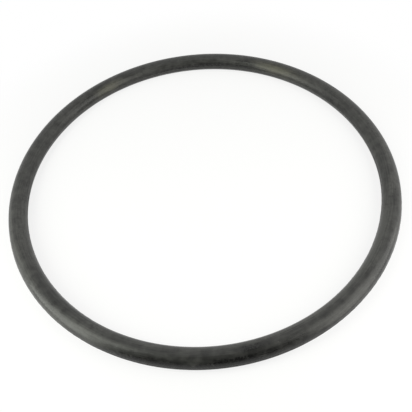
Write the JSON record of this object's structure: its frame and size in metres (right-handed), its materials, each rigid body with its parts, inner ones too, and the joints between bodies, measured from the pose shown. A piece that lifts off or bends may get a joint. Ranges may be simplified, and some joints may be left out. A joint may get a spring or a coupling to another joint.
{
  "type": "rubber o-ring",
  "caption": "Black rubber sealing ring with a round section and a fine moulding line round its inside and outside.",
  "frame": {"origin": "centre of the ring, on the plane where the mould halves met", "axes": "+Z along the ring's axis; the ring is the same all the way round, so X and Y may point anywhere"},
  "size_m": [0.1492, 0.1492, 0.007],
  "materials": {
    "rubber": "satin"
  },
  "bodies": {
    "root": {"o_ring": "rubber"}
  },
  "joints": []
}
